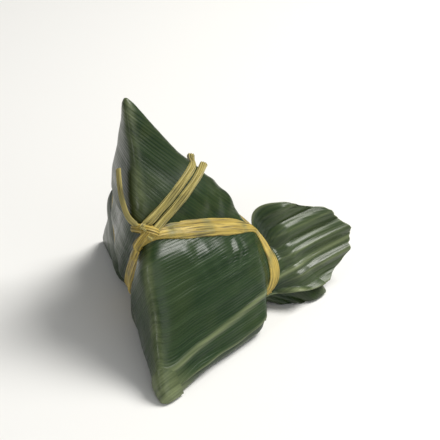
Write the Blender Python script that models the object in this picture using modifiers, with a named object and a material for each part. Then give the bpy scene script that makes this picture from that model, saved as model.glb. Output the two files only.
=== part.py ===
"""A leaf-wrapped rice dumpling: a four-cornered parcel of rice in bamboo leaf, bound with flattened rush.

Metres, +Z up. The parcel lies on its flat base, with one corner to the front (-Y) and one on top.
The origin is the bottom centre of the whole object's box.
"""

import math

import bmesh
import bpy
import numpy as np
from mathutils import Matrix, Vector

MM = 0.001

# Parcel: a leaning tetrahedron, given by its corners before they are softened.
FRONT = Vector((-11.5, -53.5, 0)) * MM
RIGHT = Vector((42.0, 2.0, 0)) * MM
BACK = Vector((-38.0, 34.0, 0)) * MM
TOP = Vector((-24.0, 2.0, 74.5)) * MM
REACH = 140 * MM
FACE_SPLITS = 28
EDGE_SOFTNESS = 2.7 * MM
TIP_SOFTNESS = 0.8 * MM
TIP_REACH = 17 * MM
FACE_SWELL = 2.5 * MM
SWELL_REACH = 30 * MM
FLAT_CUT = 0.3 * MM

# Rush bands: how far along each edge they cross, and how deep they bite into the parcel.
BAND_WIDTH = 5.6 * MM
BAND_THICK = 1.0 * MM
BAND_STEPS = 84
BITE = 2.0 * MM
BASE_BITE = 5.2 * MM
BASE_BITE_HEIGHTS = (5 * MM, 14 * MM)
BITE_WIDTH = 5.4 * MM
CROSSING_LIFT = 1.85 * MM
CROSSING_REACH = (7.5 * MM, 13 * MM)
BAND_GAP = 0.8 * MM
LEAF_PASS = 1.8 * MM
LEAF_PASS_FROM = (1.5 * MM, 6 * MM)

# Outer leaf: a strip along the front right edge, whose end stands out past the right corner.
LEAF_THICK = 0.7 * MM
LEAF_GAP = 0.85 * MM
LEAF_MARGIN_LOW = 8.5 * MM
LEAF_UNDER_BAND = 0.5 * MM
LEAF_BELOW_CROSSING = 7.4 * MM
LEAF_WRAP = 15 * MM
LEAF_TAIL = 22 * MM
TAIL_WIDEST = 0.6
TAIL_HALF = 0.62
TAIL_ROUNDING = 2.6
TAIL_FAN = 7 * MM
TAIL_FANS_FROM = 0.78
MARGIN_SLOPE = 1.15
WRAP_SHARE = 0.85
LEAF_GRID = (56, 13)
TAIL_LEAVES_AT = (-7 * MM, -1 * MM)
TAIL_CURL = 2.5 * MM

# Knot on the front ridge, and the two cut ends that run up from it over the top right edge.
KNOT_SIZE = (10.5 * MM, 8.0 * MM, 4.6 * MM)
KNOT_GAP = 0.7 * MM
END_WIDTH = 2.7 * MM
END_THICK = 1.1 * MM
END_STEPS = 30
END_OVERHANG = 11 * MM
END_OFFSET = 22 * MM
END_CROSSES_AT = 0.28
END_CROSSES_APART = 0.15
END_SPRING = 2.0 * MM
END_START = 7.0 * MM
END_RISE = 3.3 * MM
END_SETTLE = math.radians(32)

LEAF_GREEN = (0.030, 0.058, 0.022, 1)
OUTER_GREEN = (0.042, 0.078, 0.030, 1)
RUSH_STRAW = (0.36, 0.265, 0.085, 1)

CORNERS = (FRONT, RIGHT, BACK, TOP)
CENTRE = sum(CORNERS, Vector()) / 4


def face_plane(a, b, c):
    """The outward normal of the face through three corners, its distance and its middle."""
    normal = (b - a).cross(c - a).normalized()
    if normal.dot(a - CENTRE) < 0:
        normal.negate()
    return normal, normal.dot(a), (a + b + c) / 3


FACES = (
    face_plane(FRONT, RIGHT, TOP),
    face_plane(FRONT, BACK, TOP),
    face_plane(RIGHT, BACK, TOP),
    face_plane(FRONT, RIGHT, BACK),
)


def band_plane(a, b, c):
    """The plane of a band through three points where it crosses edges: normal and distance."""
    normal = (b - a).cross(c - a).normalized()
    return normal, normal.dot(a)


KNOT_CROSSING = TOP.lerp(FRONT, 0.46)
TOP_RIGHT_CROSSING = TOP.lerp(RIGHT, 0.64)
FRONT_RIGHT_CROSSING = FRONT.lerp(RIGHT, 0.72)
FRONT_BACK_CROSSING = FRONT.lerp(BACK, 0.55)
BAND_A = band_plane(KNOT_CROSSING, TOP_RIGHT_CROSSING, FRONT_BACK_CROSSING)
BAND_B = band_plane(TOP_RIGHT_CROSSING, FRONT_RIGHT_CROSSING, FRONT_BACK_CROSSING)


def smoothstep(low, high, value):
    t = np.clip((value - low) / (high - low), 0, 1)
    return t * t * (3 - 2 * t)


def from_plane(points, plane):
    """How far each point is from a band's plane."""
    return np.abs(points @ np.array(plane[0]) - plane[1])


def bitten(points):
    """1 under the middle of a band, falling to 0 beside it."""
    nearest = np.minimum(from_plane(points, BAND_A), from_plane(points, BAND_B))
    return np.exp(-((nearest / BITE_WIDTH) ** 4))


def depth(points):
    """Above 0 outside the parcel, below 0 inside: soft edges, sharp tips, swollen faces, bitten by bands."""
    tips = [np.exp(-(((points - np.array(c)) ** 2).sum(1)) / TIP_REACH**2) for c in CORNERS]
    softness = EDGE_SOFTNESS + (TIP_SOFTNESS - EDGE_SOFTNESS) * np.max(tips, axis=0)
    sides = []
    for normal, distance, middle in FACES:
        across = ((points - np.array(middle)) ** 2).sum(1) / SWELL_REACH**2
        swell = 0 if normal.z < -0.9 else FACE_SWELL * np.clip(1 - across, 0, 1)
        sides.append((points @ np.array(normal) - distance - swell) / softness)
    highest = np.max(sides, axis=0)
    soft = softness * (highest + np.log(np.exp(np.array(sides) - highest).sum(0)))
    near_base = 1 - smoothstep(*BASE_BITE_HEIGHTS, points[:, 2])
    bite = BITE + (BASE_BITE - BITE) * near_base
    return soft + bite * bitten(points)


def slope(points):
    """How the depth grows outward at points near the parcel's surface."""
    step = 0.05 * MM
    rises = [depth(points + step * axis) - depth(points - step * axis) for axis in np.eye(3)]
    return np.stack(rises, axis=1) / (2 * step)


def outward(points):
    """The parcel's outward normal at points near its surface."""
    steep = slope(points)
    return steep / np.linalg.norm(steep, axis=1, keepdims=True)


def where_depth_is(level, starts, directions):
    """Where rays from inside the parcel reach a level of its depth."""
    near = np.zeros(len(starts))
    far = np.full(len(starts), REACH)
    for _ in range(40):
        middle = (near + far) / 2
        inside = depth(starts + directions * middle[:, None]) < level
        near = np.where(inside, middle, near)
        far = np.where(inside, far, middle)
    return starts + directions * near[:, None]


def on_parcel(starts, directions, lift=0.0):
    """Where rays from inside the parcel leave it, or a lift above it."""
    directions = directions / np.linalg.norm(directions, axis=1, keepdims=True)
    surface = where_depth_is(0, starts, directions)
    return where_depth_is(lift * np.linalg.norm(slope(surface), axis=1), starts, directions)


def new_object(name, bm, material, collection):
    """An object of its own for one piece, from a bmesh."""
    mesh = bpy.data.meshes.new(name)
    bm.to_mesh(mesh)
    bm.free()
    mesh.materials.append(material)
    mesh.shade_smooth()
    piece = bpy.data.objects.new(name, mesh)
    collection.objects.link(piece)
    return piece


def plain_material(name, colour, roughness):
    material = bpy.data.materials.new(name)
    material.use_nodes = True
    shader = material.node_tree.nodes["Principled BSDF"]
    shader.inputs["Base Color"].default_value = colour
    shader.inputs["Roughness"].default_value = roughness
    shader.inputs["Metallic"].default_value = 0.0
    return material


def move_points(bm, points):
    for vert, point in zip(bm.verts, points):
        vert.co = point


def points_of(bm):
    return np.array([vert.co for vert in bm.verts])


def parcel(collection, material):
    """The rice in its leaves: a three-sided cone primitive, split finely and drawn on to the soft form."""
    bm = bmesh.new()
    bmesh.ops.create_cone(bm, cap_ends=True, segments=3, radius1=REACH, radius2=0, depth=REACH)
    bmesh.ops.remove_doubles(bm, verts=bm.verts, dist=0.1 * MM)
    top = max(bm.verts, key=lambda vert: vert.co.z)
    ring = sorted((v for v in bm.verts if v != top), key=lambda vert: math.atan2(vert.co.y, vert.co.x))
    corners = sorted((FRONT, RIGHT, BACK), key=lambda corner: math.atan2(corner.y, corner.x))
    top.co = TOP
    for vert, corner in zip(ring, corners):
        vert.co = corner
    bmesh.ops.subdivide_edges(bm, edges=bm.edges, cuts=FACE_SPLITS, use_grid_fill=True)
    rays = points_of(bm) - np.array(CENTRE)
    starts = np.tile(np.array(CENTRE), (len(rays), 1))
    move_points(bm, on_parcel(starts, rays))
    everything = [*bm.verts, *bm.edges, *bm.faces]
    floor = Vector((0, 0, FLAT_CUT))
    bmesh.ops.bisect_plane(bm, geom=everything, plane_co=floor, plane_no=(0, 0, -1), clear_outer=True)
    rim = [edge for edge in bm.edges if edge.is_boundary]
    bmesh.ops.holes_fill(bm, edges=rim)
    bmesh.ops.triangulate(bm, faces=[face for face in bm.faces if len(face.verts) > 3])
    bmesh.ops.recalc_face_normals(bm, faces=bm.faces)
    return new_object("rice_parcel", bm, material, collection)


def face_outward(bm, inside):
    """Turns a sheet's faces away from a point inside the parcel."""
    bm.normal_update()
    lean = sum(face.normal.dot(face.calc_center_median() - inside) * face.calc_area() for face in bm.faces)
    if lean < 0:
        bmesh.ops.reverse_faces(bm, faces=bm.faces)


def thicken(piece, thickness):
    """A sheet given its thickness on its outer side."""
    solidify = piece.modifiers.new("thickness", "SOLIDIFY")
    solidify.thickness = thickness
    solidify.offset = 1
    solidify.use_even_offset = False
    return piece


def leaf_frame():
    """The outer leaf's flat axes on the front right face: along its length, across it, and outward."""
    along = (RIGHT - FRONT).normalized()
    out = FACES[0][0]
    across = out.cross(along)
    if across.dot(TOP - FRONT) < 0:
        across.negate()
    return along, across, out


def outer_leaf(collection, material):
    """A strip folded round the front ridge, flat on the front right face, with its end standing out."""
    along, across, out = leaf_frame()
    top_s, top_t = (TOP - FRONT).dot(along), (TOP - FRONT).dot(across)
    right_s = (RIGHT - FRONT).dot(along)
    ridge_high = (KNOT_CROSSING - FRONT).dot(across) - LEAF_UNDER_BAND
    edge_high = (TOP_RIGHT_CROSSING - FRONT).dot(across) - LEAF_BELOW_CROSSING
    columns, rows = LEAF_GRID
    bm = bmesh.new()
    bmesh.ops.create_grid(bm, x_segments=columns, y_segments=rows, size=0.5)
    ridge = (TOP - FRONT).normalized()
    left_out = FACES[1][0]
    fold = out.angle(left_out)
    turn = Matrix.Rotation(fold, 3, ridge)
    if (turn @ out - left_out).length > 1e-3:
        turn = Matrix.Rotation(-fold, 3, ridge)
    flat, laid, past = [], [], []
    for vert in bm.verts:
        u, v = vert.co.x + 0.5, vert.co.y + 0.5
        high = ridge_high + (edge_high - ridge_high) * min(1, MARGIN_SLOPE * u)
        high += TAIL_FAN * float(smoothstep(TAIL_FANS_FROM, 1, u))
        t = LEAF_MARGIN_LOW + (high - LEAF_MARGIN_LOW) * v
        ridge_s = top_s * t / top_t
        edge_s = right_s + (top_s - right_s) * t / top_t
        tail_end = edge_s + LEAF_TAIL * (1 - abs((v - TAIL_WIDEST) / TAIL_HALF) ** TAIL_ROUNDING)
        wrap = min(LEAF_WRAP, WRAP_SHARE * t)
        s = ridge_s - wrap + (tail_end - ridge_s + wrap) * u
        point = FRONT + along * s + across * t
        flat.append(point + out * (LEAF_GAP + TAIL_CURL * max(0, (s - edge_s) / LEAF_TAIL) ** 2))
        if s < ridge_s:
            foot = FRONT + ridge * (point - FRONT).dot(ridge)
            point = foot + turn @ (point - foot)
        laid.append(point)
        past.append(s - edge_s)
    laid, flat = np.array(laid), np.array(flat)
    flat = flat - BITE * bitten(flat)[:, None] * np.array(out)
    starts = np.tile(np.array(CENTRE), (len(laid), 1))
    hugging = on_parcel(starts, laid - starts, LEAF_GAP)
    free = smoothstep(*TAIL_LEAVES_AT, np.array(past))[:, None]
    move_points(bm, hugging * (1 - free) + flat * free)
    face_outward(bm, CENTRE)
    return thicken(new_object("outer_leaf", bm, material, collection), LEAF_THICK)


def over_leaf(points):
    """1 on the front right face and round the front ridge, where a band passes over the outer leaf."""
    _, _, out = leaf_frame()
    height = (points - np.array(FRONT)) @ np.array(out)
    on_leaf = smoothstep(-LEAF_WRAP - 4 * MM, -LEAF_WRAP + 2 * MM, height)
    return on_leaf * smoothstep(*LEAF_PASS_FROM, points[:, 2])


def band(name, plane, lift_over, collection, material):
    """One turn of rush: a short open cylinder, drawn on to the parcel along a plane, and thickened."""
    normal, distance = plane
    hub = CENTRE + normal * (distance - normal.dot(CENTRE))
    bm = bmesh.new()
    bmesh.ops.create_cone(
        bm, cap_ends=False, segments=BAND_STEPS, radius1=REACH, radius2=REACH, depth=BAND_WIDTH
    )
    bm.transform(Matrix.Translation(hub) @ normal.to_track_quat("Z", "Y").to_matrix().to_4x4())
    points = points_of(bm)
    side = (points - np.array(hub)) @ np.array(normal)
    starts = np.array(hub) + side[:, None] * np.array(normal)
    rays = points - starts
    surface = on_parcel(starts, rays)
    lift = BAND_GAP + LEAF_PASS * over_leaf(surface)
    if lift_over is not None:
        crossing = 1 - smoothstep(*CROSSING_REACH, from_plane(surface, lift_over))
        lift = lift + CROSSING_LIFT * crossing
    move_points(bm, on_parcel(starts, rays, lift))
    face_outward(bm, hub)
    return thicken(new_object(name, bm, material, collection), BAND_THICK)


def knot_frame():
    """The knot's seat on the front ridge, and its directions along the ridge, across it and outward."""
    start = np.array([CENTRE])
    ray = np.array([KNOT_CROSSING - CENTRE])
    seat = on_parcel(start, ray)
    out = Vector(outward(seat)[0])
    along = (TOP - FRONT).normalized()
    along = (along - out * along.dot(out)).normalized()
    return Vector(seat[0]), along, along.cross(out), out


def knot(collection, material):
    """The pulled-tight half hitch: a flattened ball over the band."""
    seat, along, across, out = knot_frame()
    bm = bmesh.new()
    bmesh.ops.create_uvsphere(bm, u_segments=20, v_segments=12, radius=0.5)
    bm.transform(Matrix.Diagonal((*KNOT_SIZE, 1)))
    turn = Matrix((across, along, out)).transposed().to_4x4()
    rise = BAND_GAP + LEAF_PASS + BAND_THICK + KNOT_GAP + KNOT_SIZE[2] / 2
    bm.transform(Matrix.Translation(seat + out * rise) @ turn)
    return new_object("tie_knot", bm, material, collection)


def tie_end(name, swing, reach, collection, material):
    """A cut end of rush: a narrow strip from the knot, up over the top right edge, where it springs off."""
    seat, _, _, out = knot_frame()
    edge_point = TOP.lerp(RIGHT, END_CROSSES_AT + END_CROSSES_APART * swing)
    normal = (edge_point - CENTRE).cross(seat - CENTRE).normalized()
    begin = (seat - CENTRE).normalized()
    side = normal.cross(begin).normalized()
    if side.dot(edge_point - CENTRE) < 0:
        side.negate()
    sweep = math.atan2((edge_point - CENTRE).dot(side), (edge_point - CENTRE).dot(begin))
    first = END_START / (seat - CENTRE).length
    last = sweep + reach / (edge_point - CENTRE).length
    bm = bmesh.new()
    bmesh.ops.create_grid(bm, x_segments=END_STEPS, y_segments=1, size=0.5)
    starts, rays, lifts = [], [], []
    for vert in bm.verts:
        u = vert.co.x + 0.5
        angle = first + (last - first) * u
        start = CENTRE + normal * (END_WIDTH * vert.co.y + swing * END_OFFSET)
        starts.append(start)
        rays.append(begin * math.cos(angle) + side * math.sin(angle))
        past_edge = max(0, (angle - sweep) / (last - sweep))
        near_knot = 1 - float(smoothstep(0, END_SETTLE, angle - first))
        lifts.append(BAND_GAP + END_RISE * near_knot + END_SPRING * past_edge)
    move_points(bm, on_parcel(np.array(starts), np.array(rays), np.array(lifts)))
    face_outward(bm, CENTRE)
    return thicken(new_object(name, bm, material, collection), END_THICK)


def stand_on_origin(pieces):
    """Moves every piece so that the origin is the bottom centre of the whole object's box."""
    graph = bpy.context.evaluated_depsgraph_get()
    low, high = Vector((math.inf,) * 3), Vector((-math.inf,) * 3)
    for piece in pieces:
        for vert in piece.evaluated_get(graph).data.vertices:
            low = Vector(map(min, low, vert.co))
            high = Vector(map(max, high, vert.co))
    foot = Vector(((low.x + high.x) / 2, (low.y + high.y) / 2, low.z))
    holder = bpy.data.objects.new("dumpling", None)
    bpy.context.scene.collection.objects.link(holder)
    holder.location = -foot
    for piece in pieces:
        piece.parent = holder


def main():
    for old in list(bpy.data.objects):
        bpy.data.objects.remove(old)
    collection = bpy.data.collections.new("rice_dumpling")
    bpy.context.scene.collection.children.link(collection)
    inner_leaf = plain_material("inner_leaf", LEAF_GREEN, 0.4)
    outer = plain_material("outer_leaf", OUTER_GREEN, 0.35)
    rush = plain_material("rush", RUSH_STRAW, 0.6)
    pieces = [
        parcel(collection, inner_leaf),
        outer_leaf(collection, outer),
        band("tie_band_low", BAND_A, None, collection, rush),
        band("tie_band_high", BAND_B, BAND_A, collection, rush),
        knot(collection, rush),
        tie_end("tie_end_left", -0.06, END_OVERHANG, collection, rush),
        tie_end("tie_end_right", 0.09, 0.6 * END_OVERHANG, collection, rush),
    ]
    stand_on_origin(pieces)


main()
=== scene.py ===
"""A rice dumpling wrapped in cooked bamboo leaf and tied with dried rush, standing on a pale table."""

import math

import bpy
import numpy as np
from mathutils import Matrix, Vector, noise
from mathutils.bvhtree import BVHTree


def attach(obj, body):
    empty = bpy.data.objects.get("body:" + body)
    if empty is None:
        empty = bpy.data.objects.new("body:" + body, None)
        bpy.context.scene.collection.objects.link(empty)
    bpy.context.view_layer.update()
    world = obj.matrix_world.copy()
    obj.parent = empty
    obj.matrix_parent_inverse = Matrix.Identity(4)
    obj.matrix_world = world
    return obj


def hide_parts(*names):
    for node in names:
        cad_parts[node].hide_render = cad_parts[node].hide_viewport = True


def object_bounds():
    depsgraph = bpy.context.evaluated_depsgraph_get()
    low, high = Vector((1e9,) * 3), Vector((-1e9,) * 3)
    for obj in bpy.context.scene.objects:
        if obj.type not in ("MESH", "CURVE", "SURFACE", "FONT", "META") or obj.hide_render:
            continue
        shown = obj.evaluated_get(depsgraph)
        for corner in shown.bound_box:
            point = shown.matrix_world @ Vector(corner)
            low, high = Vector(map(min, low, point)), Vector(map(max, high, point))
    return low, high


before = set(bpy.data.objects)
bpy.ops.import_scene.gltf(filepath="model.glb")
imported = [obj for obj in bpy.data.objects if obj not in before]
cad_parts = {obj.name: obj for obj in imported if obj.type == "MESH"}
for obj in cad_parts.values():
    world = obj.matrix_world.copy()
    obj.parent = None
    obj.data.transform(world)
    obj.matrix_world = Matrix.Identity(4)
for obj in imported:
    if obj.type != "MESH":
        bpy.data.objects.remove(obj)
cad_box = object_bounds()
bpy.ops.object.select_all(action="DESELECT")


# ---------------------------------------------------------------------------------------------------------
# Inner leaf. Sticky rice pressed into bamboo leaves that are folded into a leaning, four-cornered parcel.
# Its skin is the leaf next to the rice: tight over the faces, creased along the ridges, and gathered into
# short folds beside each band of rush.
# ---------------------------------------------------------------------------------------------------------
MM = 0.001
LOW_SWELL, SMALL_SWELL = 0.55 * MM, 0.20 * MM
FOLD_HEIGHT = 0.30 * MM
FOLDS_ROUND = 17
FOLD_STARTS, FOLD_FULL, FOLD_ENDS = 2.5, 5, 17
parcel_corners = [vertex.co.copy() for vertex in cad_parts["rice_parcel"].data.vertices]
TOP = max(parcel_corners, key=lambda p: p.z)
FRONT = min(parcel_corners, key=lambda p: p.y)
RIGHT = max(parcel_corners, key=lambda p: p.x)
BACK = min(parcel_corners, key=lambda p: p.x)
MIDDLE = (TOP + FRONT + RIGHT + BACK) / 4
# Veins run straight round the parcel, square to one of the lines that join the middles of opposite edges.
ACROSS_LOW_LEAF = ((TOP + BACK) - (FRONT + RIGHT)).normalized()
ACROSS_TOP_LEAF = ((FRONT + BACK) - (TOP + RIGHT)).normalized()
ACROSS_BACK_LEAF = ((FRONT + TOP) - (RIGHT + BACK)).normalized()


def band_plane(node):
    """The middle and the normal of the flat loop that a band of rush lies in."""
    points = np.array([vertex.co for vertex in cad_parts[node].data.vertices])
    middle = points.mean(axis=0)
    normal = np.linalg.svd(points - middle, full_matrices=False)[2][2]
    return Vector(middle), Vector(normal)


LOW_BAND = band_plane("tie_band_low")
HIGH_BAND = band_plane("tie_band_high")


def where_it_crosses(start, end, plane):
    """The point of an edge of the parcel that a band passes over."""
    middle, normal = plane
    return start.lerp(end, (middle - start).dot(normal) / (end - start).dot(normal))


KNOT_ON_RIDGE = where_it_crosses(TOP, FRONT, LOW_BAND)
BANDS_MEET = where_it_crosses(TOP, RIGHT, LOW_BAND)
BAND_FOOT = where_it_crosses(FRONT, RIGHT, HIGH_BAND)


def ease(low, high, value):
    """0 below low, 1 above high, and a smooth step between them."""
    t = min(1, max(0, (value - low) / (high - low)))
    return t * t * (3 - 2 * t)


def gathered(point):
    """How far the leaf stands off at a point: low swells, and short folds that start and end so many
    millimetres from each band, and stay away from where the bands meet."""
    swell = LOW_SWELL * noise.noise(point * 55) + SMALL_SWELL * noise.noise(point * 150)
    folds, clear = 0, ease(8 * MM, 16 * MM, (point - BANDS_MEET).length)
    for middle, normal in (LOW_BAND, HIGH_BAND):
        away = abs((point - middle).dot(normal)) / MM
        side = (point - middle).cross(normal).normalized()
        turn = math.atan2(side.x, side.z + 0.3 * side.y)
        uneven = 4 * noise.noise(point * 70)
        ripple = math.sin(FOLDS_ROUND * turn + uneven) * (0.6 + 0.8 * noise.noise(point * 110))
        fade = 1 - ease(FOLD_FULL, FOLD_ENDS, away)
        folds += FOLD_HEIGHT * clear * ripple * ease(FOLD_STARTS, FOLD_FULL, away) * fade
    return (swell + folds) * ease(0, 4 * MM, point.z)


def apply_modifiers(piece):
    """Fixes a piece's modifiers into its mesh, in their order."""
    bpy.context.view_layer.objects.active = piece
    for modifier in list(piece.modifiers):
        bpy.ops.object.modifier_apply(modifier=modifier.name)


def pick_only(piece):
    """Makes a piece the only one selected, so that the tools work on nothing else."""
    bpy.ops.object.select_all(action="DESELECT")
    piece.select_set(True)
    bpy.context.view_layer.objects.active = piece


inner_leaf = bpy.data.objects.new("inner_leaf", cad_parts["rice_parcel"].data.copy())
bpy.context.scene.collection.objects.link(inner_leaf)
inner_leaf.data.materials.clear()
pick_only(inner_leaf)
bpy.ops.object.mode_set(mode="EDIT")
bpy.ops.mesh.select_all(action="SELECT")
bpy.ops.mesh.remove_doubles(threshold=0.00001)
bpy.ops.object.mode_set(mode="OBJECT")
rounding = inner_leaf.modifiers.new("rounding", "SUBSURF")
rounding.levels = rounding.render_levels = 2
apply_modifiers(inner_leaf)
inner_normals = [vertex.normal.copy() for vertex in inner_leaf.data.vertices]
for vertex, normal in zip(inner_leaf.data.vertices, inner_normals):
    vertex.co += normal * gathered(vertex.co)
    vertex.co.z = max(vertex.co.z, 0)
inner_leaf.data.shade_smooth()


def leaf_blade_group():
    """Cooked bamboo leaf: fine straight veins, darker and olive patches, and pale creases and margins, with
    a painted highlight along the front ridge laid on in the same pale colour.
    """
    group = bpy.data.node_groups.new("Leaf blade", "ShaderNodeTree")
    face = group.interface
    face.new_socket("Place", in_out="INPUT", socket_type="NodeSocketVector")
    for name, colour in (
        ("Deep", (0.006, 0.017, 0.006, 1)),
        ("Fresh", (0.024, 0.048, 0.017, 1)),
        ("Olive", (0.070, 0.085, 0.026, 1)),
        ("Crease And Highlight", (0.25, 0.29, 0.14, 1)),
    ):
        socket = face.new_socket(name, in_out="INPUT", socket_type="NodeSocketColor")
        socket.default_value = colour
    face.new_socket("Olive Share", in_out="INPUT", socket_type="NodeSocketFloat").default_value = 0.3
    face.new_socket("Pale", in_out="INPUT", socket_type="NodeSocketFloat").default_value = 0
    face.new_socket("Colour", in_out="OUTPUT", socket_type="NodeSocketColor")
    face.new_socket("Roughness", in_out="OUTPUT", socket_type="NodeSocketFloat")
    face.new_socket("Height", in_out="OUTPUT", socket_type="NodeSocketFloat")
    nodes, links = group.nodes, group.links
    given, result = nodes.new("NodeGroupInput"), nodes.new("NodeGroupOutput")

    stretch = nodes.new("ShaderNodeVectorMath")
    stretch.operation = "MULTIPLY"
    stretch.inputs[1].default_value = (1, 0.04, 0.04)
    links.new(given.outputs["Place"], stretch.inputs[0])

    def grain(scale, detail, vector, distortion=0):
        """A noise of so many marks a centimetre."""
        marks = nodes.new("ShaderNodeTexNoise")
        marks.inputs["Scale"].default_value = scale
        marks.inputs["Detail"].default_value = detail
        marks.inputs["Roughness"].default_value = 0.6
        marks.inputs["Distortion"].default_value = distortion
        links.new(vector, marks.inputs["Vector"])
        return marks.outputs["Fac"]

    def spread(source, low, high):
        """Widens a noise's middle values to run from 0 to 1."""
        widen = nodes.new("ShaderNodeMapRange")
        widen.inputs["From Min"].default_value = low
        widen.inputs["From Max"].default_value = high
        links.new(source, widen.inputs["Value"])
        return widen.outputs["Result"]

    def blend_colours(share, first, second):
        """The first colour where the share is 0, the second where it is 1."""
        mix = nodes.new("ShaderNodeMix")
        mix.data_type = "RGBA"
        links.new(share, mix.inputs["Factor"])
        links.new(first, mix.inputs["A"])
        links.new(second, mix.inputs["B"])
        return mix.outputs["Result"]

    def combine(operation, first, second, third=0):
        """One sum on two or three values, each a plain number or the outcome of another node."""
        step = nodes.new("ShaderNodeMath")
        step.operation = operation
        for source, socket in zip((first, second, third), step.inputs):
            if isinstance(source, (int, float)):
                socket.default_value = source
            else:
                links.new(source, socket)
        return step.outputs[0]

    veins = nodes.new("ShaderNodeTexWave")
    veins.bands_direction = "X"
    veins.inputs["Scale"].default_value = 3.9
    veins.inputs["Distortion"].default_value = 1.6
    veins.inputs["Detail"].default_value = 2
    veins.inputs["Detail Scale"].default_value = 1.4
    links.new(stretch.outputs[0], veins.inputs["Vector"])

    streaks = grain(11, 4, stretch.outputs[0])
    hairs = grain(34, 2, stretch.outputs[0])
    ribs = grain(2.6, 1, stretch.outputs[0])
    patches = grain(0.5, 3, given.outputs["Place"], 0.4)
    streak_tone = spread(streaks, 0.33, 0.67)
    rib_tone = spread(ribs, 0.35, 0.65)
    tone = combine("MULTIPLY_ADD", streak_tone, 0.55, combine("MULTIPLY", rib_tone, 0.45))
    green = blend_colours(tone, given.outputs["Deep"], given.outputs["Fresh"])
    olive_patch = combine("MULTIPLY", spread(patches, 0.46, 0.70), given.outputs["Olive Share"])
    tinted = blend_colours(olive_patch, green, given.outputs["Olive"])
    vein_line = combine("POWER", veins.outputs["Fac"], 5)
    veined = blend_colours(combine("MULTIPLY", vein_line, 0.20), tinted, given.outputs["Olive"])
    patchy = combine("MULTIPLY_ADD", spread(streaks, 0.30, 0.60), 0.65, 0.35)
    # Pale marks bleached creases, margins and the midrib, and also the painted highlight along the front
    # ridge; both take the pale colour here.
    pale_share = combine("MULTIPLY", given.outputs["Pale"], patchy)
    links.new(blend_colours(pale_share, veined, given.outputs["Crease And Highlight"]), result.inputs["Colour"])
    links.new(combine("MULTIPLY_ADD", tone, 0.20, 0.26), result.inputs["Roughness"])

    relief = combine("MULTIPLY_ADD", veins.outputs["Fac"], 0.16, combine("MULTIPLY", hairs, 0.22))
    relief = combine("MULTIPLY_ADD", streaks, 0.55, relief)
    links.new(combine("MULTIPLY_ADD", ribs, 0.6, relief), result.inputs["Height"])
    return group


leaf_blade = leaf_blade_group()


def leaf_material(name, across, deep, fresh, olive, olive_share):
    """A waxy leaf finish whose veins run square to one direction, or along the leaf's own length."""
    material = bpy.data.materials.new(name)
    material.use_nodes = True
    nodes, links = material.node_tree.nodes, material.node_tree.links
    shader = nodes["Principled BSDF"]
    where = nodes.new("ShaderNodeTexCoord")
    place = nodes.new("ShaderNodeMapping")
    if across is None:
        place.inputs["Rotation"].default_value = (0, 0, math.radians(90))
        links.new(where.outputs["UV"], place.inputs["Vector"])
    else:
        along = across.orthogonal().normalized()
        turn = Matrix((across, along, across.cross(along)))
        place.inputs["Rotation"].default_value = turn.to_euler()
        place.inputs["Scale"].default_value = (100, 100, 100)
        links.new(where.outputs["Object"], place.inputs["Vector"])
    pale = nodes.new("ShaderNodeAttribute")
    pale.attribute_name = "pale"
    blade = nodes.new("ShaderNodeGroup")
    blade.node_tree = leaf_blade
    blade.inputs["Deep"].default_value = deep
    blade.inputs["Fresh"].default_value = fresh
    blade.inputs["Olive"].default_value = olive
    blade.inputs["Olive Share"].default_value = olive_share
    links.new(place.outputs["Vector"], blade.inputs["Place"])
    links.new(pale.outputs["Fac"], blade.inputs["Pale"])
    links.new(blade.outputs["Colour"], shader.inputs["Base Color"])
    links.new(blade.outputs["Roughness"], shader.inputs["Roughness"])
    bump = nodes.new("ShaderNodeBump")
    bump.inputs["Distance"].default_value = 0.0003
    bump.inputs["Strength"].default_value = 0.8
    links.new(blade.outputs["Height"], bump.inputs["Height"])
    links.new(bump.outputs["Normal"], shader.inputs["Normal"])
    shader.inputs["Specular IOR Level"].default_value = 0.30
    shader.inputs["Coat Weight"].default_value = 0.14
    shader.inputs["Coat Roughness"].default_value = 0.2
    return material


def paint_pale(leaf, amount):
    """Stores how pale a leaf is at each point, from 0 for full green to 1 for the pale colour of a bleached
    crease or of the painted highlight on the front ridge.
    """
    pale = leaf.data.attributes.new("pale", "FLOAT", "POINT")
    pale.data.foreach_set("value", [min(1, max(0, value)) for value in amount])


def crease_and_highlight_paleness(point):
    """The leaf is bleached where it is folded tight at the front tip, less at the other corners, and
    carries a painted highlight along the front ridge."""
    front = 1 - ease(2 * MM, 15 * MM, (point - FRONT).length)
    others = max(1 - ease(1 * MM, 6 * MM, (point - corner).length) for corner in (TOP, RIGHT, BACK))
    # Painted highlight: a pale, broken streak along the whole front ridge, from the front tip to the top
    # corner.
    ridge = (TOP - FRONT).normalized()
    off_ridge = (point - FRONT).cross(ridge).length
    pale_share = (1 - ease(0.8 * MM, 3.2 * MM, off_ridge)) * (0.7 + 0.6 * noise.noise(point * 200))
    return max(0.85 * front, 0.3 * others, 0.50 * pale_share)


# This paleness includes the painted highlight along the front ridge.
paint_pale(inner_leaf, [0.8 * crease_and_highlight_paleness(vertex.co) for vertex in inner_leaf.data.vertices])
inner_finish = leaf_material(
    "inner_leaf_green",
    ACROSS_LOW_LEAF,
    deep=(0.003, 0.013, 0.003, 1),
    fresh=(0.012, 0.034, 0.006, 1),
    olive=(0.044, 0.060, 0.010, 1),
    olive_share=0.35,
)
inner_leaf.data.materials.append(inner_finish)
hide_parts("rice_parcel")
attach(inner_leaf, "root")


# ---------------------------------------------------------------------------------------------------------
# Folded leaves. More strips of bamboo leaf lie over the inner one, bent round its ridges: one round the top
# corner, one round the back corner, one along the lower front edge, and a short fold at the front tip. The
# back one lies flat, tucked under the top one. The margins of the others stand a little off.
# ---------------------------------------------------------------------------------------------------------
LEAF_THICK = 0.35 * MM
OFF_THE_TABLE = 0.1 * MM
BASE_MARGIN = 0.9 * MM
MARGIN_BAND = 4.5 * MM
MARGIN_WAVE = 0.9 * MM
BLEACHED_BAND = 1.1 * MM


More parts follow.
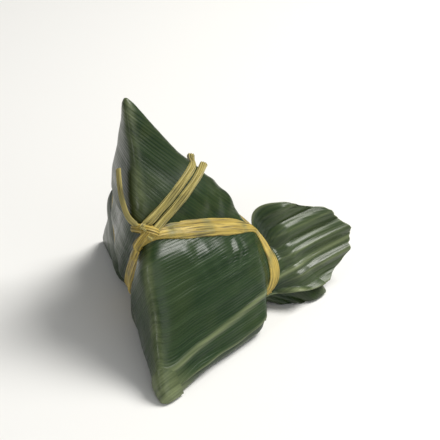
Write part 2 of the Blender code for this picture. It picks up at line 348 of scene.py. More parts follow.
def folded_leaf(name, cuts, lift, curl, finish):
    """A sheet laid over the inner leaf, kept behind every cut, with its cut margins waved and lifted. Lift
    is how far it lies off the inner leaf, or is let into it where another sheet covers it."""
    leaf = bpy.data.objects.new(name, inner_leaf.data.copy())
    bpy.context.scene.collection.objects.link(leaf)
    leaf.data.materials.clear()
    pick_only(leaf)
    bpy.ops.object.mode_set(mode="EDIT")
    bpy.ops.mesh.select_all(action="SELECT")
    bpy.ops.mesh.bisect(plane_co=(0, 0, BASE_MARGIN), plane_no=(0, 0, -1), clear_outer=True)
    for point, outward in cuts:
        bpy.ops.mesh.select_all(action="SELECT")
        bpy.ops.mesh.bisect(plane_co=point, plane_no=outward, clear_outer=True)
    bpy.ops.mesh.select_all(action="SELECT")
    bpy.ops.mesh.delete_loose()
    bpy.ops.object.mode_set(mode="OBJECT")
    normals = [vertex.normal.copy() for vertex in leaf.data.vertices]
    bleached = []
    for vertex, normal in zip(leaf.data.vertices, normals):
        start = vertex.co.copy()
        rise, pale = lift, crease_and_highlight_paleness(start)
        for point, outward in cuts:
            inside = (point - start).dot(outward)
            near = 1 - ease(0, MARGIN_BAND, inside)
            wave = noise.noise(start * 70 + outward * 3)
            rise += curl * near * near * (0.7 + 0.9 * wave)
            vertex.co += outward * MARGIN_WAVE * wave * near
            pale = max(pale, 0.55 * (1 - ease(0, BLEACHED_BAND, inside)))
        vertex.co += normal * rise
        vertex.co.z = max(vertex.co.z, LEAF_THICK + OFF_THE_TABLE)
        bleached.append(pale)
    paint_pale(leaf, bleached)
    thickness = leaf.modifiers.new("thickness", "SOLIDIFY")
    thickness.thickness = LEAF_THICK
    thickness.offset = 1
    apply_modifiers(leaf)
    leaf.data.shade_smooth()
    bpy.ops.object.shade_smooth_by_angle(angle=math.radians(50))
    leaf.data.materials.append(finish)
    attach(leaf, "root")
    return leaf


top_finish = leaf_material(
    "top_leaf_green",
    ACROSS_TOP_LEAF,
    deep=(0.003, 0.013, 0.003, 1),
    fresh=(0.013, 0.034, 0.006, 1),
    olive=(0.054, 0.070, 0.012, 1),
    olive_share=0.45,
)
back_finish = leaf_material(
    "back_leaf_green",
    ACROSS_BACK_LEAF,
    deep=(0.003, 0.015, 0.004, 1),
    fresh=(0.014, 0.039, 0.008, 1),
    olive=(0.050, 0.070, 0.014, 1),
    olive_share=0.3,
)
low_finish = leaf_material(
    "low_leaf_green",
    ACROSS_LOW_LEAF,
    deep=(0.003, 0.016, 0.004, 1),
    fresh=(0.016, 0.041, 0.009, 1),
    olive=(0.060, 0.080, 0.017, 1),
    olive_share=0.4,
)
top_cut = [(TOP.lerp(FRONT, 0.47), ACROSS_TOP_LEAF)]
back_cut = [(BACK.lerp(TOP, 0.42), ACROSS_BACK_LEAF)]
low_cut = [(FRONT.lerp(TOP, 0.26), ACROSS_LOW_LEAF)]
top_leaf = folded_leaf("top_leaf", top_cut, lift=0.12 * MM, curl=0.5 * MM, finish=top_finish)
back_leaf = folded_leaf("back_leaf", back_cut, lift=-0.10 * MM, curl=0, finish=back_finish)
low_leaf = folded_leaf("low_leaf", low_cut, lift=0.01 * MM, curl=0.3 * MM, finish=low_finish)
tip_cuts = []
for corner, reach in ((TOP, 15 * MM), (RIGHT, 6.5 * MM), (BACK, 5.5 * MM)):
    outward = (corner - FRONT).normalized()
    tip_cuts.append((FRONT + outward * reach, outward))
folded_leaf("tip_leaf", tip_cuts, lift=1.0 * MM, curl=0.25 * MM, finish=low_finish)


# ---------------------------------------------------------------------------------------------------------
# Outer leaf. The last strip of leaf: folded round the front ridge, flat on the front right face with its
# pale midrib near the lower edge, and left long, so that its pleated end stands out past the right corner.
# ---------------------------------------------------------------------------------------------------------
OUTER_THICK = 0.45 * MM
OUTER_GAP = 0.55 * MM  # from the inner leaf to the underside of this one
OUTER_MARGIN_LOW = 3.0 * MM
OUTER_WRAP = 17 * MM
LEVEL_UNTIL = 0.22
TUCKED_AT, TUCK_SPREAD, TUCKED_BY = 0.76, 0.12, 5.5 * MM
TORN_AT, TORN_SPREAD, TORN_DEPTH, TORN_UP = 0.87, 0.035, 2.6 * MM, 2.4 * MM
BEND_FROM, BEND_TO = 2 * MM, 14 * MM
CURL_BAND, CURL_UP, RIPPLE_UP = 3 * MM, 0.5 * MM, 0.10 * MM
TAIL_STARTS = 0.72
TAIL_LENGTH = 23 * MM
TAIL_WIDEST = 0.6
TAIL_RISE = 5.5 * MM
TAIL_OPENS_OVER = 9 * MM
TAIL_BELOW, TAIL_OPEN, TAIL_LIFT = 4 * MM, 5 * MM, 4.5 * MM
MIDRIB_FROM, MIDRIB_TO = 8.5 * MM, 13 * MM
RIB_WIDTH, RIB_HEIGHT = 0.8 * MM, 0.35 * MM
PLEAT_EVERY = 7.5 * MM
CLEAR_OF_FACE = 20 * MM
CLEAR_OF_TABLE = 0.6 * MM
LEAF_COLUMNS, LEAF_ROWS = 260, 110

low_along = (RIGHT - FRONT).normalized()
front_out = (RIGHT - FRONT).cross(TOP - FRONT).normalized()
if front_out.dot(FRONT - MIDDLE) < 0:
    front_out.negate()
left_out = (BACK - FRONT).cross(TOP - FRONT).normalized()
if left_out.dot(FRONT - MIDDLE) < 0:
    left_out.negate()
low_up = front_out.cross(low_along)
if low_up.dot(TOP - FRONT) < 0:
    low_up.negate()
front_ridge = (TOP - FRONT).normalized()
ridge_fold = Matrix.Rotation(front_out.angle(left_out), 3, front_ridge)
if (ridge_fold @ front_out - left_out).length > 0.01:
    ridge_fold = Matrix.Rotation(-front_out.angle(left_out), 3, front_ridge)


def on_front_face(point):
    """A point's place on the front right face: along its lower edge, and up from it."""
    return (point - FRONT).dot(low_along), (point - FRONT).dot(low_up)


top_s, top_t = on_front_face(TOP)
right_s, _ = on_front_face(RIGHT)
_, knot_t = on_front_face(KNOT_ON_RIDGE)
meet_s, meet_t = on_front_face(BANDS_MEET)
foot_s, foot_t = on_front_face(BAND_FOOT)


def right_edge(t):
    """Where the face ends on the right, at a height up it."""
    return right_s + (top_s - right_s) * t / top_t


def past_high_band(s, t):
    """How far a place on the face lies to the right of the band that runs down to the lower edge."""
    across = Vector((meet_t - foot_t, foot_s - meet_s)).normalized()
    return Vector((s - foot_s, t - foot_t)).dot(across)


inner_tree = BVHTree.FromObject(inner_leaf, bpy.context.evaluated_depsgraph_get())


def outer_leaf_place(u, v):
    """Where a point of the strip goes, from u along it and v up it: the place, its place on the flat leaf
    in centimetres, and how pale it is. On the face s runs along its lower edge and t up from it."""
    on_face = min(1, u / TAIL_STARTS)
    out = max(0, (u - TAIL_STARTS) / (1 - TAIL_STARTS))
    tucked = math.exp(-(((on_face - TUCKED_AT) / TUCK_SPREAD) ** 2))
    t_low = OUTER_MARGIN_LOW + 0.7 * MM * noise.noise(Vector((9 * u, 0, 0))) + TUCKED_BY * tucked
    t_high = knot_t + (meet_t - knot_t) * max(0, (on_face - LEVEL_UNTIL) / (1 - LEVEL_UNTIL))
    t = t_flat = t_low + (t_high - t_low) * v
    ridge_s = top_s * t / top_t
    uneven = 0.9 + 0.2 * noise.noise(Vector((5 * v, 8, 2)))
    wrap = min(OUTER_WRAP, 0.8 * t) * (1 - 0.8 * ease(0.7, 1, v)) * uneven
    s = ridge_s - wrap + (right_edge(t) - ridge_s + wrap) * on_face
    tongue = 1 - (abs(v - TAIL_WIDEST) / (TAIL_WIDEST + 0.02)) ** 2.6
    ragged = 0.8 * MM * noise.noise(Vector((19 * v, 1.7, 0)))
    ragged += 0.35 * MM * noise.noise(Vector((80 * v, 4.1, 0)))
    s += (TAIL_LENGTH * tongue + ragged) * out
    t += TAIL_RISE * v**3 * math.sin(math.pi * out**0.6)
    flat = FRONT + low_along * s + low_up * t

    loose = ease(0, TAIL_OPENS_OVER, past_high_band(s, t))
    wave = t / PLEAT_EVERY + 0.35 * noise.noise(Vector((s * 18, t * 30, 3)))
    pleat = 2 / math.pi * math.asin(math.sin(math.tau * wave))
    past_edge = max(0, s - right_edge(t)) / TAIL_LENGTH
    open_height = TAIL_OPEN * loose - TAIL_BELOW + TAIL_LIFT * past_edge**2
    found, _, _, _ = inner_tree.ray_cast(flat + front_out * CLEAR_OF_FACE, -front_out, 1.2 * CLEAR_OF_FACE)
    laid_height = (found - flat).dot(front_out) + OUTER_GAP if found else -5 * MM
    apart = laid_height - open_height
    height = (laid_height + open_height + math.sqrt(apart * apart + (0.8 * MM) ** 2)) / 2
    fine_pleat = math.sin(math.tau * (2.3 * wave + 0.3))
    height += loose * (0.55 + 0.45 * ease(0, 0.3, past_edge)) * MM * (pleat + 0.22 * fine_pleat)
    place, face = flat + front_out * height, front_out

    near_ridge = 1 - ease(BEND_FROM, BEND_TO, s - ridge_s)
    if near_ridge > 0:
        bent = flat
        if s < ridge_s:
            foot = FRONT + front_ridge * (flat - FRONT).dot(front_ridge)
            bent = foot + ridge_fold @ (flat - foot)
        inward = (MIDDLE - bent).normalized()
        found, normal, _, _ = inner_tree.ray_cast(bent - inward * CLEAR_OF_FACE, inward)
        place = place.lerp(found + normal * OUTER_GAP, near_ridge)
        face = front_out.lerp(normal, near_ridge).normalized()

    midrib_t = MIDRIB_FROM + (MIDRIB_TO - MIDRIB_FROM) * ease(0, right_s, s)
    rib = math.exp(-(((t_flat - midrib_t) / RIB_WIDTH) ** 2))
    margin = min(v, 1 - v) * (t_high - t_low)
    curl = CURL_UP * (1 - ease(0, CURL_BAND, margin)) * (0.6 + noise.noise(Vector((s * 80, 3 * v, 9))))
    ripple = RIPPLE_UP * noise.noise(Vector((s * 60, t * 700, 2)))
    torn = math.exp(-(((on_face - TORN_AT) / TORN_SPREAD) ** 2))
    torn *= 1 - ease(0, TORN_DEPTH, v * (t_high - t_low))
    curl_share = 1 - ease(0.93, 1, v) * (1 - out)
    place += face * (RIB_HEIGHT * rib + ripple + curl * curl_share + TORN_UP * torn)
    place.z = max(place.z, CLEAR_OF_TABLE)
    # The first term carries the painted highlight along the front ridge as well as the bleached front tip.
    pale = max(
        0.9 * crease_and_highlight_paleness(flat),
        0.60 * (1 - ease(0, 0.9 * MM, margin)),
        0.60 * rib,
        0.45 * loose * max(0, pleat) ** 3,
        0.50 * ease(0.94, 1, out),
        0.16 * loose,
        torn,
    )
    return place, (s * 100, t_flat * 100), pale


bpy.ops.mesh.primitive_grid_add(x_subdivisions=LEAF_COLUMNS, y_subdivisions=LEAF_ROWS, size=1)
outer_leaf = bpy.context.active_object
outer_leaf.name = "outer_leaf_strip"
laid_out = [outer_leaf_place(vertex.co.x + 0.5, vertex.co.y + 0.5) for vertex in outer_leaf.data.vertices]
for vertex, (place, _, _) in zip(outer_leaf.data.vertices, laid_out):
    vertex.co = place
for loop, uv in zip(outer_leaf.data.loops, outer_leaf.data.uv_layers.active.data):
    uv.uv = laid_out[loop.vertex_index][1]
paint_pale(outer_leaf, [pale for _, _, pale in laid_out])
pick_only(outer_leaf)
settle = outer_leaf.modifiers.new("settle", "SMOOTH")
settle.factor = 0.5
settle.iterations = 4
thickness = outer_leaf.modifiers.new("thickness", "SOLIDIFY")
thickness.thickness = OUTER_THICK
thickness.offset = 1
apply_modifiers(outer_leaf)
outer_leaf.data.shade_smooth()
outer_finish = leaf_material(
    "outer_leaf_green",
    None,
    deep=(0.003, 0.016, 0.004, 1),
    fresh=(0.016, 0.042, 0.010, 1),
    olive=(0.058, 0.082, 0.020, 1),
    olive_share=0.3,
)
outer_leaf.data.materials.append(outer_finish)
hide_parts("outer_leaf")
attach(outer_leaf, "root")


# ---------------------------------------------------------------------------------------------------------
# Rush bands. Flat, dried rush stems, a few fibres wide, wound twice round the parcel and pulled tight, so
# that they sink into the leaf. They are broad on the faces and squeezed narrow where they cross. From here
# on, the widths, thicknesses, radii and lifts of stems are in millimetres.
# ---------------------------------------------------------------------------------------------------------
BAND_THICK = 0.95
BAND_SUNK = 0.12
BAND_STEPS = 280
CLOSE_STATIONS = 3
PRESSED_IN, PRESSED_OUT = 0.7 * MM, 0.5 * MM


def rush_fibre_group():
    """Dried rush: straw and olive fibres along the stem, with dark grooves between them."""
    group = bpy.data.node_groups.new("Rush fibre", "ShaderNodeTree")
    face = group.interface
    face.new_socket("Place", in_out="INPUT", socket_type="NodeSocketVector")
    for name, colour in (
        ("Groove", (0.085, 0.065, 0.022, 1)),
        ("Stem", (0.36, 0.27, 0.085, 1)),
        ("Straw", (0.60, 0.47, 0.18, 1)),
        ("Green Tint", (0.19, 0.18, 0.060, 1)),
    ):
        socket = face.new_socket(name, in_out="INPUT", socket_type="NodeSocketColor")
        socket.default_value = colour
    face.new_socket("Colour", in_out="OUTPUT", socket_type="NodeSocketColor")
    face.new_socket("Roughness", in_out="OUTPUT", socket_type="NodeSocketFloat")
    face.new_socket("Height", in_out="OUTPUT", socket_type="NodeSocketFloat")
    nodes, links = group.nodes, group.links
    given, result = nodes.new("NodeGroupInput"), nodes.new("NodeGroupOutput")
    stretch = nodes.new("ShaderNodeVectorMath")
    stretch.operation = "MULTIPLY"
    stretch.inputs[1].default_value = (1, 0.035, 1)
    links.new(given.outputs["Place"], stretch.inputs[0])
    fibres = nodes.new("ShaderNodeTexNoise")
    fibres.inputs["Scale"].default_value = 26
    fibres.inputs["Detail"].default_value = 3
    links.new(stretch.outputs[0], fibres.inputs["Vector"])
    tones = nodes.new("ShaderNodeTexNoise")
    tones.inputs["Scale"].default_value = 7
    tones.inputs["Detail"].default_value = 2
    links.new(stretch.outputs[0], tones.inputs["Vector"])
    patches = nodes.new("ShaderNodeTexNoise")
    patches.inputs["Scale"].default_value = 1.1
    patches.inputs["Detail"].default_value = 2
    links.new(given.outputs["Place"], patches.inputs["Vector"])

    def banded(source, low, high, first, second):
        """One colour below low, the other above high."""
        ramp = nodes.new("ShaderNodeMapRange")
        ramp.inputs["From Min"].default_value = low
        ramp.inputs["From Max"].default_value = high
        links.new(source, ramp.inputs["Value"])
        mix = nodes.new("ShaderNodeMix")
        mix.data_type = "RGBA"
        links.new(ramp.outputs["Result"], mix.inputs["Factor"])
        links.new(first, mix.inputs["A"])
        links.new(second, mix.inputs["B"])
        return mix.outputs["Result"]

    body = banded(tones.outputs["Fac"], 0.38, 0.66, given.outputs["Stem"], given.outputs["Straw"])
    tinted = banded(patches.outputs["Fac"], 0.50, 0.68, body, given.outputs["Green Tint"])
    grooved = banded(fibres.outputs["Fac"], 0.34, 0.50, given.outputs["Groove"], tinted)
    links.new(grooved, result.inputs["Colour"])
    dull = nodes.new("ShaderNodeMapRange")
    dull.inputs["To Min"].default_value = 0.62
    dull.inputs["To Max"].default_value = 0.42
    links.new(fibres.outputs["Fac"], dull.inputs["Value"])
    links.new(dull.outputs["Result"], result.inputs["Roughness"])
    links.new(fibres.outputs["Fac"], result.inputs["Height"])
    return group


rush_fibre = rush_fibre_group()


def rush_material(name, stem, straw):
    """A dull straw finish whose fibres follow the stem."""
    material = bpy.data.materials.new(name)
    material.use_nodes = True
    nodes, links = material.node_tree.nodes, material.node_tree.links
    shader = nodes["Principled BSDF"]
    where = nodes.new("ShaderNodeTexCoord")
    place = nodes.new("ShaderNodeMapping")
    place.inputs["Rotation"].default_value = (0, 0, math.radians(90))
    links.new(where.outputs["UV"], place.inputs["Vector"])
    fibre = nodes.new("ShaderNodeGroup")
    fibre.node_tree = rush_fibre
    fibre.inputs["Stem"].default_value = stem
    fibre.inputs["Straw"].default_value = straw
    links.new(place.outputs["Vector"], fibre.inputs["Place"])
    links.new(fibre.outputs["Colour"], shader.inputs["Base Color"])
    links.new(fibre.outputs["Roughness"], shader.inputs["Roughness"])
    bump = nodes.new("ShaderNodeBump")
    bump.inputs["Distance"].default_value = 0.0003
    bump.inputs["Strength"].default_value = 0.8
    links.new(fibre.outputs["Height"], bump.inputs["Height"])
    links.new(bump.outputs["Normal"], shader.inputs["Normal"])
    return material


band_finish = rush_material("band_straw", stem=(0.34, 0.245, 0.042, 1), straw=(0.60, 0.45, 0.10, 1))


def seat_tree(leaf):
    """The part of a leaf that rush can be pressed on to, which leaves out the loose tail."""
    corners = [vertex.co for vertex in leaf.data.vertices]
    seats = []
    for face in leaf.data.polygons:
        s, t = on_front_face(face.center)
        if leaf is not outer_leaf or s < right_edge(t) - 2 * MM:
            seats.append(list(face.vertices))
    return BVHTree.FromPolygons(corners, seats)


wrappings = [seat_tree(leaf) for leaf in (inner_leaf, top_leaf, back_leaf, low_leaf, outer_leaf)]


def on_wrapping(point, outward, reach=7 * MM):
    """Where a stem that is pressed inward along a line first meets leaf, and which way the leaf faces."""
    best = None
    for tree in wrappings:
        found, normal, _, distance = tree.ray_cast(point + outward * reach, -outward, 2 * reach)
        if found is not None and (best is None or distance < best[1]):
            best = (found, distance, normal)
    return (best[0], best[2]) if best else (point, outward)


def stem_section(angle, groove):
    """The cut across a flattened stem: x from -1 to 1 over its width, y its thickness, fluted on top."""
    x = math.copysign(abs(math.cos(angle)) ** 0.75, math.cos(angle))
    if math.sin(angle) < 0:
        return x, 0
    crown = abs(math.sin(angle)) ** 0.8 * (1 + 0.16 * math.cos(11 * x))
    return x, crown * (1 - groove * math.exp(-((x / 0.16) ** 2)))


def lay_stem(piece, stations, closed, press, groove=0):
    """Lays a ring or a rod along stations: each a point, its side and outward directions, half the stem's
    width and its thickness. Where press is 1 the stem's underside follows the leaf, where 0 it is free."""
    count = len(stations)
    travelled = [0]
    for first, second in zip(stations, stations[1:]):
        travelled.append(travelled[-1] + (second[0] - first[0]).length)
    seats, uv_of = {}, {}
    for vertex in piece.data.vertices:
        if closed:
            along = math.atan2(vertex.co.y, vertex.co.x) / math.tau % 1 * count
            angle = math.atan2(vertex.co.z, math.hypot(vertex.co.x, vertex.co.y) - 1)
        else:
            along = (vertex.co.z + 0.5) * (count - 1)
            angle = math.atan2(vertex.co.y, vertex.co.x)
        index = round(along) % count
        point, side, outward, half_width, thick = stations[index]
        x, y = stem_section(angle, groove)
        base = point + side * x * half_width
        if press:
            key = (index, round(x, 2))
            if key not in seats:
                found, _ = on_wrapping(base, outward, 3 * MM)
                seats[key] = max(-PRESSED_IN, min(PRESSED_OUT, (found - base).dot(outward)))
            base += outward * seats[key] * press
        vertex.co = base + outward * y * thick
        uv_of[vertex.index] = (travelled[index] * 100, x * half_width * 100)
    for loop, uv in zip(piece.data.loops, piece.data.uv_layers.active.data):
        uv.uv = uv_of[loop.vertex_index]


def stations_along(points, faces, widths, thick, closed):
    """Stations along a run of stem: its points settled between their neighbours, each cut square to the run
    and flat on the leaf."""
    count = len(points)
    stations = []
    for index in range(count):
        near = [index + k for k in range(-CLOSE_STATIONS, CLOSE_STATIONS + 1)]
        near = [k % count if closed else min(count - 1, max(0, k)) for k in near]
        settled = sum((points[k] for k in near), Vector()) / len(near)
        outward = sum((faces[k] for k in near), Vector()).normalized()
        ahead = (points[near[-2]] - points[near[1]]).normalized()
        side = outward.cross(ahead).normalized()
        stations.append((settled, side, ahead.cross(side).normalized(), widths[index] / 2 * MM, thick * MM))
    return stations


def round_band(node, plane, width, lift):
    """Stations round a band, pressed on to the leaf. Width is the band's width at a crossing with other
    rush and away from one. Lift is how far it rises over the other band where the two meet."""
    middle, normal = plane
    points = np.array([vertex.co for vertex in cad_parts[node].data.vertices])
    zero = (TOP - middle) - normal * (TOP - middle).dot(normal)
    zero.normalize()
    quarter = normal.cross(zero)
    offsets = points - np.array(middle)
    angles = np.arctan2(offsets @ np.array(quarter), offsets @ np.array(zero))
    radii = np.linalg.norm(offsets, axis=1)
    seats, faces, widths = [], [], []
    for step in range(BAND_STEPS):
        angle = math.tau * step / BAND_STEPS - math.pi
        gap = np.abs((angles - angle + math.pi) % math.tau - math.pi)
        ray = zero * math.cos(angle) + quarter * math.sin(angle)
        found, face = on_wrapping(middle + ray * radii[gap < 0.06].mean(), ray)
        nearest = min((found - crossing).length for crossing in (KNOT_ON_RIDGE, BANDS_MEET))
        clear = ease(1 * MM, 16 * MM, nearest)
        at_meeting = 1 - ease(1.5 * MM, 6 * MM, (found - BANDS_MEET).length)
        seats.append(found + ray * (lift * at_meeting - BAND_SUNK) * MM)
        faces.append((face + ray).normalized())
        widths.append(width[0] + (width[1] - width[0]) * clear + 0.25 * noise.noise(found * 150))
    return stations_along(seats, faces, widths, BAND_THICK, closed=True)


def close_up(piece):
    """Turns a laid stem's faces outward and shades it round."""
    pick_only(piece)
    bpy.ops.object.mode_set(mode="EDIT")
    bpy.ops.mesh.select_all(action="SELECT")
    bpy.ops.mesh.normals_make_consistent(inside=False)
    bpy.ops.object.mode_set(mode="OBJECT")
    piece.data.shade_smooth()
    bpy.ops.object.shade_smooth_by_angle(angle=math.radians(60))


def rush_band(name, node, plane, width, lift, groove):
    """One flat band, a ring laid along the leaf in its plane, with a groove of so much of its thickness."""
    bpy.ops.mesh.primitive_torus_add(
        major_segments=BAND_STEPS, minor_segments=44, major_radius=1, minor_radius=0.25, generate_uvs=True
    )
    band = bpy.context.active_object
    band.name = name
    lay_stem(band, round_band(node, plane, width, lift), closed=True, press=0.8, groove=groove)
    close_up(band)
    band.data.materials.append(band_finish)
    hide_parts(node)
    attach(band, "root")


rush_band("rush_band_low", "tie_band_low", LOW_BAND, width=(2.8, 6.0), lift=0, groove=0.15)
rush_band("rush_band_high", "tie_band_high", HIGH_BAND, width=(3.0, 5.0), lift=0.7, groove=0.6)


# ---------------------------------------------------------------------------------------------------------
# Cut ends. The two narrow ends of the rush run side by side from the knot, up over the top right edge, and
# spring clear of the leaf where they were snipped. A third, shorter one lies on the left face.
# ---------------------------------------------------------------------------------------------------------
END_STEPS = 90
END_WIDTH, END_THICK = 2.5, 1.05
END_ROOT_APART = 3.1
END_LIFT, ROOT_LIFT = 0.2, 1.1
SHORT_STEPS = 40
STEM_REACH = 14 * MM
end_finish = rush_material("end_straw", stem=(0.31, 0.26, 0.075, 1), straw=(0.53, 0.45, 0.155, 1))


def rush_rod(name, stations, finish, steps):
    """A plain rod with a ring for every station, laid along them."""
    bpy.ops.mesh.primitive_cylinder_add(vertices=36, radius=1, depth=1)
    rod = bpy.context.active_object
    rod.name = name
    bpy.ops.object.mode_set(mode="EDIT")
    bpy.ops.mesh.select_mode(type="EDGE")
    bpy.ops.mesh.select_all(action="DESELECT")
    bpy.ops.object.mode_set(mode="OBJECT")
    for edge in rod.data.edges:
        bottom, top = (rod.data.vertices[index].co.z for index in edge.vertices)
        edge.select = abs(top - bottom) > 0.5
    bpy.ops.object.mode_set(mode="EDIT")
    bpy.ops.mesh.subdivide(number_cuts=steps - 1)
    bpy.ops.object.mode_set(mode="OBJECT")
    lay_stem(rod, stations, closed=False, press=0)
    close_up(rod)
    rod.data.materials.append(finish)
    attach(rod, "root")
    return rod


def end_places(node):
    """A cut end's corners, its root beside the knot and its tip."""
    places = np.array([vertex.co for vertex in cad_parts[node].data.vertices])
    away = np.linalg.norm(places - np.array(KNOT_ON_RIDGE), axis=1)
    root = Vector(places[away < away.min() + 2 * MM].mean(axis=0))
    tip = Vector(places[away > away.max() - 2 * MM].mean(axis=0))
    return places, root, tip


both_roots, both_tips = (
    (end_places("tie_end_left")[k] + end_places("tie_end_right")[k]) / 2 for k in (1, 2)
)
END_RUN = (both_tips - both_roots).normalized()
END_ACROSS = END_RUN.cross(front_out).normalized()


def long_end(node, aside, overrun):
    """Stations along a cut end: from the knot, straight up the face on the leaf, then free to its tip."""
    places, _, _ = end_places(node)
    start = KNOT_ON_RIDGE + END_ACROSS * aside * MM
    level_tip = both_tips + END_ACROSS * aside * 1.1 * MM
    depth = (places - np.array(KNOT_ON_RIDGE)) @ np.array(END_RUN)
    points, faces, widths = [], [], []
    for step in range(END_STEPS + 1):
        u = step / END_STEPS
        straight = start.lerp(level_tip, u) + END_RUN * overrun * MM * u
        seat, face = on_wrapping(straight, front_out, STEM_REACH)
        s, t = on_front_face(straight)
        free = ease(-4 * MM, 3 * MM, s - right_edge(t))
        level = (straight - KNOT_ON_RIDGE).dot(END_RUN)
        ring = np.abs(depth - max(depth.min() + MM, min(level, depth.max() - MM))) < 2 * MM
        sprung = Vector(places[ring].mean(axis=0))
        sprung += END_ACROSS * (straight - sprung).dot(END_ACROSS)
        sprung += END_RUN * (straight - sprung).dot(END_RUN)
        lifted = seat + front_out * (END_LIFT + ROOT_LIFT * (1 - ease(2.5, 9, level / MM))) * MM
        points.append(lifted.lerp(sprung, free))
        faces.append(face.lerp((straight - MIDDLE).normalized(), 0.4 + 0.6 * free).normalized())
        broad = 0.8 + 0.2 * ease(0, 0.15, u)
        widths.append(END_WIDTH * broad + 0.3 * noise.noise(Vector((step / 12, aside, 0))))
    return stations_along(points, faces, widths, END_THICK, closed=False)


for name, node, aside, overrun in (
    ("rush_end_left", "tie_end_left", -0.5, 0.5),
    ("rush_end_right", "tie_end_right", 0.5, -1.5),
):
    rush_end = rush_rod(name, long_end(node, aside * END_ROOT_APART, overrun), end_finish, END_STEPS)
    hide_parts(node)

to_back = left_out.cross(front_ridge).normalized()
if to_back.dot(BACK - FRONT) < 0:
    to_back.negate()


def short_end(heading, length, width, lift):
    """Stations along a short end on the left face. Its heading is up the ridge and towards the back, and
    its lift off the leaf is that of its root and its tip."""
    run = (front_ridge * heading[0] + to_back * heading[1]).normalized()
    points, faces, widths = [], [], []
    for step in range(SHORT_STEPS + 1):
        u = step / SHORT_STEPS
        straight = KNOT_ON_RIDGE + to_back * 1.2 * MM + run * length * u * MM
        seat, _ = on_wrapping(straight, left_out, STEM_REACH)
        points.append(seat + left_out * (lift[0] + (lift[1] - lift[0]) * ease(0, 1, u)) * MM)
        faces.append(left_out)
        broad = 0.75 + 0.25 * ease(0, 0.3, u)
        widths.append(width * broad + 0.25 * noise.noise(Vector((3 * u, width, 0))))
    return stations_along(points, faces, widths, END_THICK, closed=False)


third_end = short_end((0.97, 0.14), length=21, width=3.1, lift=(1.2, 2.0))
rush_rod("rush_end_short", third_end, end_finish, SHORT_STEPS)


# ---------------------------------------------------------------------------------------------------------
# Knot. A half hitch pulled tight on the front ridge: one flat turn of rush round the roots of the two ends,
# a second that crosses it, and a short tail that points down the left face.
# ---------------------------------------------------------------------------------------------------------
KNOT_STEPS = 120
knot_out = (KNOT_ON_RIDGE - MIDDLE).normalized()
knot_up = (front_ridge - knot_out * front_ridge.dot(knot_out)).normalized()
knot_right = knot_up.cross(knot_out)
if knot_right.dot(RIGHT - FRONT) < 0:
    knot_right.negate()
knot_seat, _ = on_wrapping(KNOT_ON_RIDGE, knot_out)


def knot_ring(name, centre, tilt, lean, radii, width, thick):
    """One flat turn of rush: a ring round an axis that lies along the ridge, tilted on the face and leaned
    off it. Its radii are across the ridge and out from it."""
    bpy.ops.mesh.primitive_torus_add(
        major_segments=KNOT_STEPS, minor_segments=36, major_radius=1, minor_radius=0.25, generate_uvs=True
    )
    ring = bpy.context.active_object
    ring.name = name
    turn = Matrix.Rotation(tilt, 3, knot_out) @ Matrix.Rotation(lean, 3, knot_right)
    side = (turn @ knot_up).normalized()
    stations = []
    for step in range(KNOT_STEPS):
        angle = math.tau * step / KNOT_STEPS
        across, out = knot_right * math.cos(angle), knot_out * math.sin(angle)
        arm = turn @ (across * radii[0] + out * radii[1]) * MM
        outward = (turn @ (across * radii[1] + out * radii[0])).normalized()
        uneven = 0.10 * noise.noise(Vector((3 * math.cos(angle), 3 * math.sin(angle), width)))
        squeeze = 1 - 0.25 * max(0, -math.sin(angle)) + uneven
        stations.append((centre + arm, side, outward, width / 2 * squeeze * MM, thick * MM))
    lay_stem(ring, stations, closed=True, press=0)
    close_up(ring)
    ring.data.materials.append(band_finish)
    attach(ring, "root")
    return ring


turn_centre = knot_seat + knot_out * 1.5 * MM + knot_up * 2.2 * MM
hitch = knot_ring("knot_turn", turn_centre, tilt=-0.35, lean=0.0, radii=(3.6, 1.9), width=2.6, thick=0.85)
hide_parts("tie_knot")
cross_centre = knot_seat + knot_out * 1.4 * MM - knot_up * 0.2 * MM
knot_ring("knot_cross", cross_centre, tilt=0.75, lean=0.2, radii=(3.4, 2.0), width=2.4, thick=0.8)
tail_run = short_end((-0.75, 0.65), length=8, width=2.4, lift=(1.2, 1.6))
rush_rod("knot_tail", tail_run, band_finish, SHORT_STEPS)


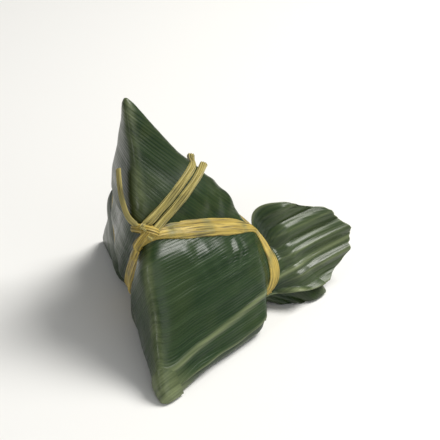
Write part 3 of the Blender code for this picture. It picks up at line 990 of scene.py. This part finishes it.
# ---------------------------------------------------------------------------------------------------------
# Table, light and view. A plain white table under one large window light, with a weak fill from the front
# and a small lamp that puts a thin shine on the front ridge. The dumpling is seen from the front and above.
# ---------------------------------------------------------------------------------------------------------
LAMPS_AIM_AT = Vector((0, 0, 0.03))
VIEW_DISTANCE, VIEW_ELEVATION = 0.31, 33
bpy.ops.mesh.primitive_plane_add(size=6, location=(0, 0, 0))
table = bpy.context.active_object
table.name = "table"
table_finish = bpy.data.materials.new("table_white")
table_finish.use_nodes = True
table_shader = table_finish.node_tree.nodes["Principled BSDF"]
table_shader.inputs["Base Color"].default_value = (0.82, 0.82, 0.80, 1)
table_shader.inputs["Roughness"].default_value = 0.7
table.data.materials.append(table_finish)


def softbox(name, place, size, power, colour):
    """A square area light turned to the dumpling."""
    bpy.ops.object.light_add(type="AREA", location=place)
    lamp = bpy.context.active_object
    lamp.name = name
    lamp.data.size = size
    lamp.data.energy = power
    lamp.data.color = colour
    lamp.rotation_euler = (LAMPS_AIM_AT - Vector(place)).to_track_quat("-Z", "Y").to_euler()


softbox("window_light", (0.5, 0.2, 0.8), 0.45, 11, (1.0, 0.98, 0.95))
softbox("front_fill", (0.45, -0.9, 0.6), 0.8, 3, (0.97, 0.99, 1.0))
softbox("ridge_light", (-0.62, -0.68, 0.50), 0.12, 1.0, (1.0, 1.0, 1.0))
world = bpy.data.worlds.new("studio")
bpy.context.scene.world = world
world.use_nodes = True
sky = world.node_tree.nodes["Background"]
sky.inputs["Color"].default_value = (1, 1, 1, 1)
sky.inputs["Strength"].default_value = 0.22

low, high = (Vector(corner) for corner in cad_box)
target = (low + high) / 2
elevation = math.radians(VIEW_ELEVATION)
bpy.ops.object.camera_add()
camera = bpy.context.active_object
camera.data.lens = 85
camera.location = target + Vector((0, -math.cos(elevation), math.sin(elevation))) * VIEW_DISTANCE
camera.rotation_euler = (target - camera.location).to_track_quat("-Z", "Y").to_euler()
bpy.context.scene.camera = camera
bpy.context.scene.view_settings.view_transform = "Standard"
